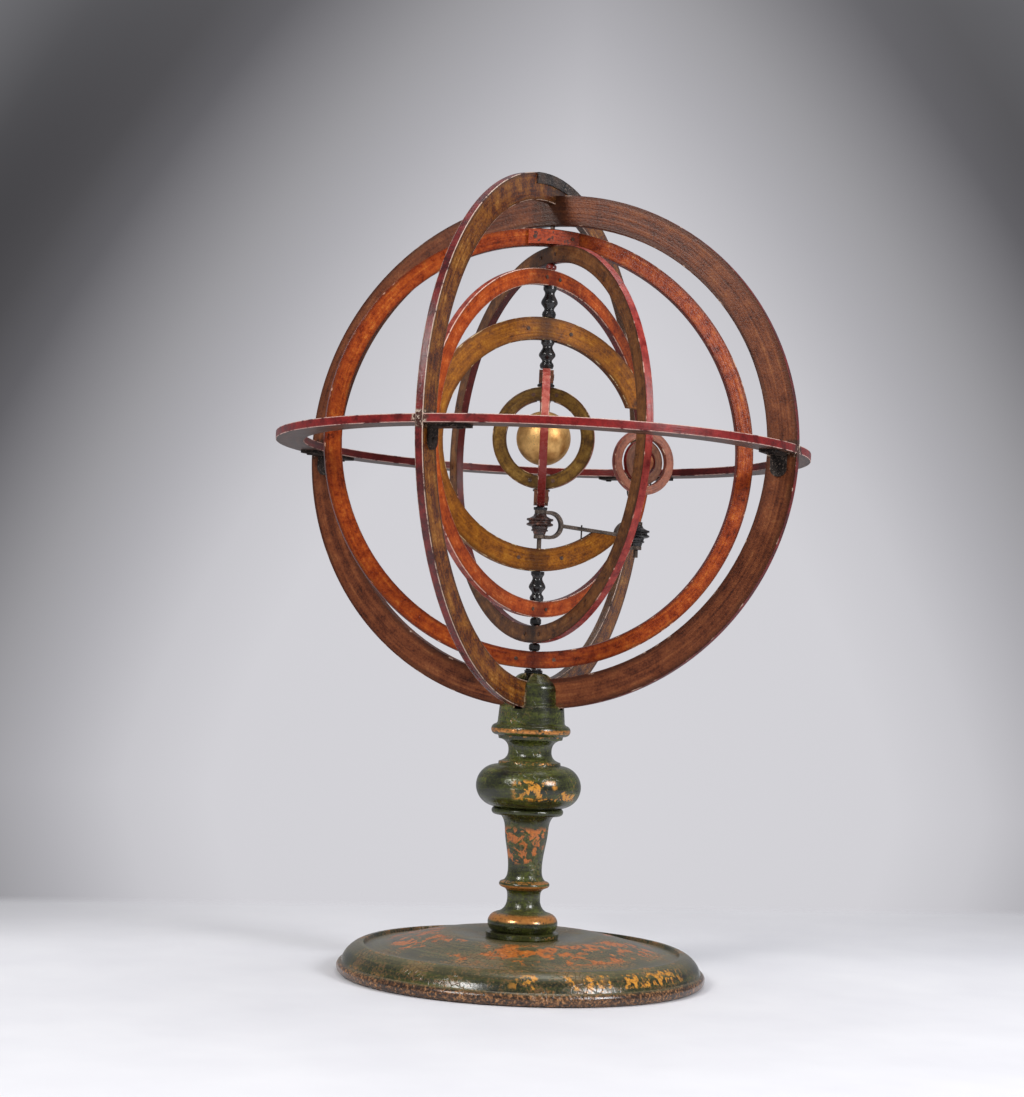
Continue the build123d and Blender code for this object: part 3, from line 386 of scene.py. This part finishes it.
def lath_finish(name, group, sizes, face, outer_edge, inner_edge, rub, gloss, rub_share=0.35,
                near_rod_dark=None, chips=None, shaded_low_edge=None, shine=0.32, ripple=0.0004,
                streak_weight=0.4):
    """Varnish for a flat ring. face, outer_edge and inner_edge are colours from dark to light,
    rub is the colour of the worn corners, stain is (colour, reach): the face darkens to that
    colour near the rod. chips is how far up another ring crosses, where the gesso shows
    through broken paint; a level ring is also crossed at its middle.
    shaded_low_edge is the colour that the outer edge darkens to in its lower half, painted shade
    under a lighter upper half. gloss is the middle roughness, shine the strength of
    reflections and ripple the height of the grain.
    """
    rub_width, crossing_reach = 0.0007, 0.0075
    material, tree, shader = start_finish(name)
    lath = use_group(tree, group, sizes)
    streaks, mottle, fine = lath["Streaks"], lath["Mottle"], lath["Fine"]
    mixed = calc(tree, "ADD", calc(tree, "MULTIPLY", streaks, streak_weight), calc(
        tree, "MULTIPLY", mottle, 0.75 - streak_weight))
    mixed = calc(tree, "ADD", mixed, calc(tree, "MULTIPLY", fine, 0.25))
    first_stop, last_stop = 0.36, 0.64
    stops = [first_stop + (last_stop - first_stop) * i / (len(face) - 1)
             for i in range(len(face))]
    colour = shades(tree, mixed, *zip(stops, face))
    border = calc(tree, "ABSOLUTE", calc(tree, "SUBTRACT", lath["Across"], 0.5))
    handled = ease(tree, calc(tree, "ADD", border, calc(tree, "MULTIPLY", calc(
        tree, "SUBTRACT", mottle, 0.5), 0.5)), 0.30, 0.50)
    colour = over(tree, calc(tree, "MULTIPLY", handled, 0.6), colour, face[0])
    edge = shades(tree, calc(tree, "ADD", calc(tree, "MULTIPLY", mottle, 0.7), calc(
        tree, "MULTIPLY", fine, 0.3)), (0.4, outer_edge[0]), (0.62, outer_edge[-1]))
    # The outer edge is painted darker in its lower half, as shade under the light from above.
    if shaded_low_edge is not None:
        lower = ease(tree, calc(tree, "ADD", lath["Up"], calc(tree, "MULTIPLY", mottle, 0.02)),
                     0.026, -0.004)
        edge = over(tree, calc(tree, "MULTIPLY", lower, 0.85), edge, shaded_low_edge)
    inside = shades(tree, mixed, (0.4, inner_edge[0]), (0.62, inner_edge[-1]))
    colour = over(tree, lath["Outer edge"], colour, edge)
    colour = over(tree, lath["Inner edge"], colour, inside)
    # Near the rod, at the poles, the face darkens to the given colour.
    if near_rod_dark is not None:
        near = ease(tree, calc(tree, "ADD", calc(tree, "ABSOLUTE", lath["Out"]), calc(
            tree, "MULTIPLY", mottle, 0.01)), near_rod_dark[1] + 0.006, near_rod_dark[1] * 0.4)
        colour = over(tree, calc(tree, "MULTIPLY", near, 0.7), colour, near_rod_dark[0])
    if chips is not None:
        crossing = calc(tree, "ABSOLUTE", calc(tree, "SUBTRACT", lath["Up"], chips))
        if group == level_lath:
            crossing = calc(tree, "MINIMUM", crossing, calc(tree, "ABSOLUTE", lath["Out"]))
        broken = calc(tree, "ADD", calc(tree, "MULTIPLY", mottle, 0.5), calc(
            tree, "MULTIPLY", fine, 0.5))
        close = ease(tree, calc(tree, "ADD", crossing, calc(tree, "MULTIPLY", calc(
            tree, "SUBTRACT", broken, 0.5), 0.02)), crossing_reach, crossing_reach - 0.002)
        colour = over(tree, calc(tree, "MULTIPLY", close, 0.75), colour, paint(54, 36, 26))
        gesso = calc(tree, "MULTIPLY", close, ease(tree, broken, 0.53, 0.56))
        colour = over(tree, gesso, colour, paint(206, 190, 170))
    specks = calc(tree, "MULTIPLY", ease(tree, fine, 0.63, 0.7), 0.55)
    colour = over(tree, specks, colour, face[0])
    corner = ease(tree, calc(tree, "ADD", lath["Arris"], calc(tree, "MULTIPLY", calc(
        tree, "SUBTRACT", fine, 0.5), rub_width)), rub_width, rub_width * 0.35)
    worn = calc(tree, "MULTIPLY", corner, ease(
        tree, mottle, 0.62 - 0.3 * rub_share, 0.70 - 0.3 * rub_share))
    colour = over(tree, worn, colour, rub)
    tree.links.new(colour, shader["Base Color"])
    tree.links.new(calc(tree, "ADD", gloss - 0.06, calc(tree, "MULTIPLY", mottle, 0.22)),
                   shader["Roughness"])
    shader["Specular IOR Level"].default_value = shine
    relief = calc(tree, "ADD", calc(tree, "MULTIPLY", streaks, 0.6), calc(
        tree, "MULTIPLY", fine, 0.4))
    relief = calc(tree, "SUBTRACT", relief, calc(tree, "MULTIPLY", worn, 0.5))
    tree.links.new(raise_surface(tree, relief, strength=0.8, distance=ripple),
                   shader["Normal"])
    return material


def ring_sizes(node, azimuth, width, shift=0.0, streak=(0.10, 0.0022), mottle=0.011,
               thickness=0.006, level=False):
    """The lath group's sizes for a ring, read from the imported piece."""
    low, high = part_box(node)
    half_height = (high.z - low.z) / 2
    if level:
        outer, squash = (high.x - low.x) / 2, 1.0
    else:
        reach = math.radians(azimuth)
        half_out = (high.x - low.x) / 2 * abs(math.cos(reach))
        half_out += (high.y - low.y) / 2 * abs(math.sin(reach))
        outer = half_out - thickness * abs(math.sin(reach) * math.cos(reach))
        outer = half_height if shift else outer
        squash = outer / half_height
    return {"Azimuth": math.radians(azimuth), "Middle": (low.z + high.z) / 2, "Shift": shift,
            "Squash": squash, "Outer": outer, "Width": width, "Thickness": thickness,
            "Streak length": streak[0], "Streak pitch": streak[1], "Mottle size": mottle}


crimson = (paint(60, 10, 12), paint(122, 30, 27))
pale_rub = paint(196, 168, 150)
colure_a_finish = lath_finish(
    "colure_a_paper", upright_lath, ring_sizes("colure_a", azimuth=0, width=0.0225),
    face=(paint(32, 15, 10), paint(88, 43, 24), paint(120, 65, 36), paint(150, 94, 54)),
    outer_edge=crimson, inner_edge=(paint(70, 34, 24), paint(112, 66, 40)), rub=pale_rub,
    rub_share=0.15, near_rod_dark=(paint(44, 30, 22), 0.02), chips=0.0017, gloss=0.3, shine=0.2,
    ripple=0.0005)
dress("colure_a", colure_a_finish)

colure_b_finish = lath_finish(
    "colure_b_paper", upright_lath, ring_sizes("colure_b", azimuth=90, width=0.020),
    face=(paint(26, 12, 8), paint(84, 38, 12), paint(134, 80, 22), paint(182, 132, 64)),
    outer_edge=crimson, inner_edge=(paint(60, 36, 24), paint(104, 70, 40)), rub=pale_rub,
    rub_share=0.8, near_rod_dark=(paint(44, 30, 22), 0.02), chips=-0.005, gloss=0.16, shine=0.5,
    ripple=0.001, streak_weight=0.3)
dress("colure_b", colure_b_finish)

# ---------------------------------------------------------------- level ring
# The horizon: a flat ring slotted over the two upright ones and screwed to iron angle
# brackets. Its edges are crimson, rubbed pink, and its paper has darkened.

horizon_finish = lath_finish(
    "horizon_paper", level_lath,
    ring_sizes("horizon_ring", azimuth=0, width=0.021, level=True),
    face=(paint(44, 26, 22), paint(82, 56, 46), paint(106, 78, 62)),
    outer_edge=(paint(82, 12, 13), paint(142, 32, 30)),
    inner_edge=(paint(66, 12, 12), paint(116, 30, 26)),
    rub=paint(208, 170, 158), rub_share=0.75, chips=0.0, gloss=0.28)
dress("horizon_ring", horizon_finish)

# ---------------------------------------------------------------- iron fittings
# Six hand-cut angle brackets with their screws, and the strap riveted over the crown
# joint: sheet iron, blackened and pitted, with a little brown rust. The upright rod that
# all the planet rings hang on is plain iron, worn brighter.

def iron_finish(name, dark, light, pit_scale, pit_depth, metal, gloss):
    material, tree, shader = start_finish(name)
    place = put(tree, "TexCoord", output="Object")
    broad = grain(tree, place, 90.0, 5.0, 0.6)
    pits_and_glints = grain(tree, place, pit_scale, 4.0, 0.7)
    colour = shades(tree, broad, (0.35, dark), (0.6, light), (0.75, paint(84, 58, 40)))
    # Pale specks in the pitting are painted glints: highlights laid into the colour.
    colour = over(tree, ease(tree, pits_and_glints, 0.56, 0.66), colour, paint(134, 118, 106))
    tree.links.new(colour, shader["Base Color"])
    tree.links.new(calc(tree, "SUBTRACT", metal, calc(tree, "MULTIPLY", ease(
        tree, broad, 0.5, 0.7), metal)), shader["Metallic"])
    tree.links.new(calc(tree, "ADD", gloss, calc(tree, "MULTIPLY", broad, 0.25)),
                   shader["Roughness"])
    tree.links.new(raise_surface(tree, pits_and_glints, strength=0.7, distance=pit_depth),
                   shader["Normal"])
    return material


bracket_iron = iron_finish("bracket_iron", paint(26, 23, 22), paint(54, 46, 42),
                           pit_scale=700.0, pit_depth=0.0005, metal=0.7, gloss=0.42)
strap_iron = iron_finish("strap_iron", paint(20, 14, 12), paint(62, 46, 36),
                         pit_scale=520.0, pit_depth=0.0022, metal=0.15, gloss=0.2)
rod_iron = iron_finish("rod_iron", paint(40, 33, 29), paint(92, 78, 68),
                       pit_scale=900.0, pit_depth=0.0003, metal=0.5, gloss=0.36)
nail_iron = iron_finish("nail_iron", paint(40, 24, 16), paint(84, 50, 32),
                        pit_scale=1200.0, pit_depth=0.0003, metal=0.15, gloss=0.5)
for piece in ("horizon_brackets", "bracket_screws"):
    dress(piece, bracket_iron)
dress("crown_strap", strap_iron)
dress("axis_rod", rod_iron)

# ---------------------------------------------------------------- turned spacers
# Small balusters, beads, discs and grooved pulleys turned in black-stained hardwood and
# polished; they are threaded on the rod and keep the planet rings apart. The pulley on the
# rod is browner, and the top bead is painted red.

def stained_wood(name, dark, light, gloss, worn=None):
    material, tree, shader = start_finish(name)
    place = put(tree, "TexCoord", output="Object")
    squeezed = put(tree, "Mapping", {"Vector": place, "Scale": (160.0, 160.0, 1500.0)})
    lines = grain(tree, squeezed, 1.0, 4.0, 0.6)
    cloudy = grain(tree, place, 260.0, 5.0, 0.6)
    colour = shades(tree, calc(tree, "ADD", calc(tree, "MULTIPLY", lines, 0.5), calc(
        tree, "MULTIPLY", cloudy, 0.5)), (0.38, dark), (0.64, light))
    if worn is not None:
        colour = over(tree, ease(tree, cloudy, 0.56, 0.66), colour, worn)
    tree.links.new(colour, shader["Base Color"])
    tree.links.new(calc(tree, "ADD", gloss, calc(tree, "MULTIPLY", cloudy, 0.2)),
                   shader["Roughness"])
    shader["Coat Weight"].default_value = 0.3
    shader["Coat Roughness"].default_value = 0.2
    tree.links.new(raise_surface(tree, lines, strength=0.45, distance=0.0003), shader["Normal"])
    return material


black_wood = stained_wood("black_turned_wood", paint(7, 7, 8), paint(27, 25, 26), 0.14,
                          worn=paint(46, 37, 32))
for piece in ("upper_baluster", "venus_baluster", "lower_baluster", "mercury_discs", "lower_beads",
              "foot_collar", "spindle_pulley", "venus_disc"):
    dress(piece, black_wood)
dress("fixed_pulley", stained_wood("pulley_brown", paint(20, 13, 12), paint(76, 46, 38), 0.18,
                                   worn=paint(112, 76, 62)))
dress("upper_bead", stained_wood("red_bead_paint", paint(86, 20, 14), paint(148, 44, 24), 0.25,
                                 worn=paint(60, 24, 18)))

# ---------------------------------------------------------------- sun
# A turned ball, gilded over a brown ground and rubbed through near its sides, on a
# copper sleeve that holds it to the rod.

def gilding(name, ground, dull, bright, scale, metal):
    material, tree, shader = start_finish(name)
    place = put(tree, "TexCoord", output="Object")
    cloudy = grain(tree, place, scale, 6.0, 0.65)
    fine = grain(tree, place, scale * 9.0, 4.0, 0.7)
    colour = shades(tree, cloudy, (0.36, dull), (0.6, bright))
    rubbed = ease(tree, calc(tree, "ADD", calc(tree, "MULTIPLY", cloudy, 0.6), calc(
        tree, "MULTIPLY", fine, 0.5)), 0.62, 0.7)
    colour = over(tree, calc(tree, "MULTIPLY", rubbed, 0.5), colour, ground)
    tree.links.new(colour, shader["Base Color"])
    tree.links.new(calc(tree, "MULTIPLY", calc(tree, "SUBTRACT", 1.0, calc(
        tree, "MULTIPLY", rubbed, 0.7)), metal), shader["Metallic"])
    tree.links.new(calc(tree, "ADD", 0.3, calc(tree, "MULTIPLY", cloudy, 0.25)),
                   shader["Roughness"])
    tree.links.new(raise_surface(tree, fine, strength=0.4, distance=0.0004), shader["Normal"])
    return material


dress("sun_ball", gilding("sun_gilding", paint(96, 62, 34), paint(160, 110, 56),
                          paint(226, 180, 112), scale=75.0, metal=0.7))
dress("sun_sleeve", gilding("aged_copper", paint(58, 32, 22), paint(112, 58, 34),
                            paint(160, 92, 58), scale=160.0, metal=0.6))

# ---------------------------------------------------------------- planet rings
# Six flat wooden rings, each bored at both poles to turn on the rod, with glued cheeks
# that thicken it there and small iron nails through them. Each is varnished in its own
# colour and edged in red.

# azimuth is in degrees; width, and shift of the ring's middle from the rod, are in metres.
planet_looks = {
    "saturn": dict(
        azimuth=38.0, width=0.0129,
        face=(paint(58, 18, 7), paint(124, 44, 11), paint(160, 70, 18), paint(190, 108, 40)),
        outer_edge=(paint(76, 24, 18), paint(126, 50, 34)),
        inner_edge=(paint(72, 20, 14), paint(118, 42, 24)),
        rub=paint(206, 158, 132), gloss=0.24, shine=0.26, rub_share=0.15),
    "jupiter": dict(
        azimuth=-36.0, width=0.0129,
        face=(paint(32, 18, 10), paint(80, 46, 22), paint(116, 72, 34), paint(146, 102, 58)),
        outer_edge=(paint(110, 20, 18), paint(166, 60, 50)),
        inner_edge=(paint(60, 16, 14), paint(108, 34, 28)),
        rub=paint(206, 158, 140), gloss=0.26, rub_share=0.2),
    "mars": dict(
        azimuth=74.5, width=0.0121,
        face=(paint(84, 24, 6), paint(150, 56, 12), paint(186, 82, 22), paint(212, 122, 60)),
        outer_edge=(paint(110, 26, 18), paint(172, 78, 58)),
        inner_edge=(paint(76, 16, 10), paint(132, 40, 26)),
        rub=paint(216, 172, 152), gloss=0.14, shine=0.5, rub_share=0.8),
    "earth": dict(
        azimuth=48.0, width=0.017, shift=-0.0031,
        face=(paint(60, 28, 5), paint(120, 66, 10), paint(154, 92, 16), paint(180, 124, 38)),
        outer_edge=(paint(112, 72, 44), paint(170, 124, 84)),
        inner_edge=(paint(78, 40, 20), paint(124, 76, 36)),
        rub=paint(204, 178, 136), gloss=0.36, shine=0.12),
    "venus": dict(
        azimuth=115.0, width=0.0116,
        face=(paint(70, 30, 24), paint(112, 52, 36), paint(134, 70, 46)),
        # Its pale pink outer edge is a painted highlight, over painted shade of dark red below.
        outer_edge=(paint(150, 52, 44), paint(192, 112, 98)), shaded_low_edge=paint(104, 18, 16),
        inner_edge=(paint(92, 12, 12), paint(140, 30, 26)), rub=paint(216, 180, 160), gloss=0.22),
    "mercury": dict(
        azimuth=20.0, width=0.0102,
        face=(paint(40, 24, 8), paint(84, 56, 18), paint(114, 82, 28), paint(142, 110, 54)),
        outer_edge=(paint(112, 50, 38), paint(160, 92, 70)),
        inner_edge=(paint(78, 30, 22), paint(116, 56, 38)),
        rub=paint(190, 156, 120), gloss=0.28, rub_share=0.3),
}
for planet, look in planet_looks.items():
    sizes = ring_sizes(planet + "_ring", look.pop("azimuth"), look.pop("width"),
                       look.pop("shift", 0.0), streak=(0.06, 0.0016), mottle=0.007)
    finish = lath_finish(planet + "_varnish", upright_lath, sizes, streak_weight=0.3,
                         ripple=0.0005, near_rod_dark=(look["face"][0], 0.014), **look)
    dress(planet + "_ring", finish)
    if planet == "venus":
        finish = stained_wood("venus_cheek_varnish", paint(72, 38, 22), paint(142, 88, 54), 0.3)
    elif planet == "saturn":
        finish = stained_wood("saturn_cheek_varnish", paint(96, 26, 8), paint(190, 74, 18), 0.16,
                              worn=paint(60, 24, 14))
    dress(planet + "_cheeks", finish)
    dress(planet + "_nails", nail_iron)

# ---------------------------------------------------------------- earth's carriage
# A forged iron arm with a fork at each end rides with the earth's ring; its outer fork
# holds an upright spindle with a pulley, which carries the meridian, the moon's ring
# and the earth, a small copper-coloured ball, on a leaning wire.

for piece in ("carriage_arm", "carriage_wire", "earth_spindle", "earth_axle"):
    dress(piece, rod_iron)
meridian_low, meridian_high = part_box("meridian_ring")
meridian_middle = (meridian_low + meridian_high) / 2
meridian_out = math.hypot(meridian_middle.x, meridian_middle.y)
meridian_radius = (meridian_high.z - meridian_low.z) / 2
meridian_sizes = ring_sizes("meridian_ring", azimuth=48.0, width=0.0066, thickness=0.005,
                            streak=(0.03, 0.0012), mottle=0.005)
meridian_sizes.update({"Shift": meridian_out, "Outer": meridian_radius, "Squash": 1.0})
dress("meridian_ring", lath_finish(
    "meridian_varnish", upright_lath, meridian_sizes,
    face=(paint(84, 38, 24), paint(140, 76, 50), paint(172, 106, 76)),
    outer_edge=(paint(124, 44, 34), paint(176, 96, 74)),
    inner_edge=(paint(96, 40, 28), paint(140, 72, 50)),
    rub=paint(220, 180, 150), gloss=0.3))
red_edge = (paint(80, 12, 12), paint(140, 36, 30))
moon_sizes = dict(meridian_sizes)
moon_sizes.update({"Outer": 0.0172, "Width": 0.0071, "Thickness": 0.004})
dress("moon_ring", lath_finish(
    "moon_ring_varnish", upright_lath, moon_sizes,
    face=(paint(56, 30, 20), paint(104, 62, 42), paint(136, 90, 62)),
    outer_edge=red_edge, inner_edge=red_edge, rub=paint(170, 110, 88), gloss=0.3))
dress("earth_ball", gilding("earth_ball_copper", paint(70, 34, 22), paint(120, 62, 36),
                            paint(170, 104, 66), scale=170.0, metal=0.25))

# ---------------------------------------------------------------- floor and light
# A pale table top that melts into a grey studio background, lit by two soft lamps in
# front, a broad weak one above and the plain light of the room.

view_turn = math.radians(25.03)
floor_reach, floor_drop = 3.0, -0.0002
floor_mesh = bpy.data.meshes.new("floor")
floor_mesh.from_pydata([(x * floor_reach, y * floor_reach, floor_drop)
                        for x, y in ((-1, -1), (1, -1), (1, 1), (-1, 1))], [], [(0, 1, 2, 3)])
floor = bpy.data.objects.new("floor", floor_mesh)
bpy.context.scene.collection.objects.link(floor)
floor_finish, tree, shader = start_finish("floor_paper")
place = put(tree, "TexCoord", output="Object")
cloudy = grain(tree, place, 9.0, 3.0)
tree.links.new(shades(tree, cloudy, (0.3, paint(226, 226, 231)), (0.7, paint(233, 233, 237))),
               shader["Base Color"])
shader["Roughness"].default_value = 0.7
shader["Specular IOR Level"].default_value = 0.1

# The table ends behind the object, at an edge that runs a little askew, and thins out on
# its way there, so that the edge hardly shows.
edge_turn = view_turn + math.radians(14.0)
edge_near, edge_far = 0.39, 0.46
thin_from, thin_to, thinned = 0.08, 0.40, 0.55
side_from, side_to = 0.8, 1.3
spread = put(tree, "VectorMath", {0: place}, output="Value", operation="LENGTH")
behind = put(tree, "VectorMath", {0: place, 1: (-math.sin(edge_turn), math.cos(edge_turn), 0.0)},
             output="Value", operation="DOT_PRODUCT")
table = calc(tree, "MULTIPLY", ease(tree, behind, edge_far, edge_near),
             ease(tree, spread, side_to, side_from))
table = calc(tree, "MULTIPLY", table, calc(tree, "SUBTRACT", 1.0, calc(
    tree, "MULTIPLY", ease(tree, behind, thin_from, thin_to), thinned)))
tree.links.new(table, shader["Alpha"])
floor_mesh.materials.append(floor_finish)

world = bpy.data.worlds.new("studio")
bpy.context.scene.world = world
world.use_nodes = True
tree = world.node_tree
backdrop = tree.nodes["Background"]
direction = put(tree, "TexCoord", output="Generated")


def towards(x, y, z):
    return put(tree, "VectorMath", {0: direction, 1: (x, y, z)}, output="Value",
               operation="DOT_PRODUCT")


# A pool of light on the wall behind the object, brightest low down and falling off to the
# corners; in every other direction the wall is plain and pale, with painted shade darkening
# it towards the top.
pool_across, pool_rising = 0.017, -0.069
pool_wide, pool_high = 0.33, 0.5
pool_power, pool_root = 1.3, 0.769
deep = towards(-math.sin(view_turn), math.cos(view_turn), 0.0)
across = calc(tree, "DIVIDE", towards(math.cos(view_turn), math.sin(view_turn), 0.0), deep)
rising = calc(tree, "DIVIDE", towards(0.0, 0.0, 1.0), deep)
off_across = calc(tree, "ABSOLUTE", calc(
    tree, "DIVIDE", calc(tree, "SUBTRACT", across, pool_across), pool_wide))
off_rising = calc(tree, "ABSOLUTE", calc(
    tree, "DIVIDE", calc(tree, "SUBTRACT", rising, pool_rising), pool_high))
off_middle = calc(tree, "POWER", calc(
    tree, "ADD", calc(tree, "POWER", off_across, pool_power),
    calc(tree, "POWER", off_rising, pool_power)), pool_root)
pool = shades(tree, calc(tree, "DIVIDE", off_middle, 1.6),
              (0.0, paint(213, 212, 217)), (0.31, paint(210, 209, 214)),
              (0.39, paint(199, 198, 203)), (0.47, paint(174, 173, 178)),
              (0.53, paint(155, 154, 158)), (0.64, paint(98, 97, 101)),
              (0.69, paint(79, 78, 81)), (0.78, paint(55, 54, 57)))
wall_foot, wall_top = -0.25, 0.30
wall_rise = put(tree, "MapRange", {0: towards(0.0, 0.0, 1.0), 1: wall_foot, 2: wall_top})
wall = shades(tree, wall_rise, (0.0, paint(216, 215, 220)), (0.45, paint(205, 205, 209)),
              (1.0, paint(132, 132, 136)))
seen = over(tree, ease(tree, deep, 0.90, 0.955), wall, pool)

# Reflections see a dimmer room than the camera does, and surfaces are lit by its plain light.
reflected_room = paint(150, 150, 154)
room_light = (0.36, 0.365, 0.38, 1.0)
rays = tree.nodes.new("ShaderNodeLightPath").outputs
seen = over(tree, rays["Is Glossy Ray"], seen, reflected_room)
direct = calc(tree, "MAXIMUM", rays["Is Camera Ray"], calc(
    tree, "MAXIMUM", rays["Is Glossy Ray"], rays["Is Transmission Ray"]))
tree.links.new(over(tree, direct, room_light, seen), backdrop.inputs["Color"])


def soft_lamp(name, place, aim, size, power, warmth):
    data = bpy.data.lights.new(name, "AREA")
    data.shape = "RECTANGLE"
    data.size, data.size_y = size
    data.energy = power
    data.color = warmth
    lamp = bpy.data.objects.new(name, data)
    bpy.context.scene.collection.objects.link(lamp)
    lamp.location = place
    lamp.rotation_mode = "QUATERNION"
    lamp.rotation_quaternion = (Vector(aim) - Vector(place)).to_track_quat("-Z", "Y")


def from_view(right, back, up):
    """A place given as seen by the camera: to its right, away from it, and up."""
    return Vector((right * math.cos(view_turn) - back * math.sin(view_turn),
                   right * math.sin(view_turn) + back * math.cos(view_turn), up))


middle = (0.0, 0.0, 0.32)
soft_lamp("key_left", from_view(-1.1, -1.3, 1.35), middle, size=(0.38, 0.5), power=21.0,
          warmth=(1.0, 0.98, 0.95))
soft_lamp("fill_right", from_view(1.25, -1.0, 1.0), middle, size=(0.36, 0.5), power=18.0,
          warmth=(0.98, 0.98, 1.0))
soft_lamp("top", from_view(0.2, 0.3, 1.9), middle, size=(0.9, 0.9), power=9.0,
          warmth=(1.0, 1.0, 1.0))

# ---------------------------------------------------------------- camera
# It stands level with the foot of the rings, about 1.6 m off, looks slightly up and is
# turned a little about its own line. The lens is shifted to frame the object.

picture_height = 1097.0
focal_pixels = 2092.3
camera_distance = 1.5678
camera_height = 0.23967
object_right = 0.0081
look_up = math.radians(1.24)
roll = math.radians(2.5)
picture_right, picture_down = 13.27, 61.65

camera_data = bpy.data.cameras.new("camera")
sensor_size = 36.0
camera_data.sensor_width = sensor_size
camera_data.lens = focal_pixels / picture_height * sensor_size
camera_data.shift_x = -picture_right / picture_height
camera_data.shift_y = picture_down / picture_height
camera_data.clip_start, camera_data.clip_end = 0.01, 50.0
camera = bpy.data.objects.new("camera", camera_data)
bpy.context.scene.collection.objects.link(camera)
camera.location = from_view(-object_right, -camera_distance, camera_height)
ahead = from_view(0.0, math.cos(look_up), math.sin(look_up))
right = from_view(1.0, 0.0, 0.0)
up = right.cross(ahead)
rolled_right = right * math.cos(roll) + up * math.sin(roll)
rolled_up = up * math.cos(roll) - right * math.sin(roll)
camera.rotation_mode = "QUATERNION"
camera.rotation_quaternion = Matrix((rolled_right, rolled_up, -ahead)).transposed().to_quaternion()
bpy.context.scene.camera = camera
bpy.context.scene.view_settings.view_transform = "Standard"
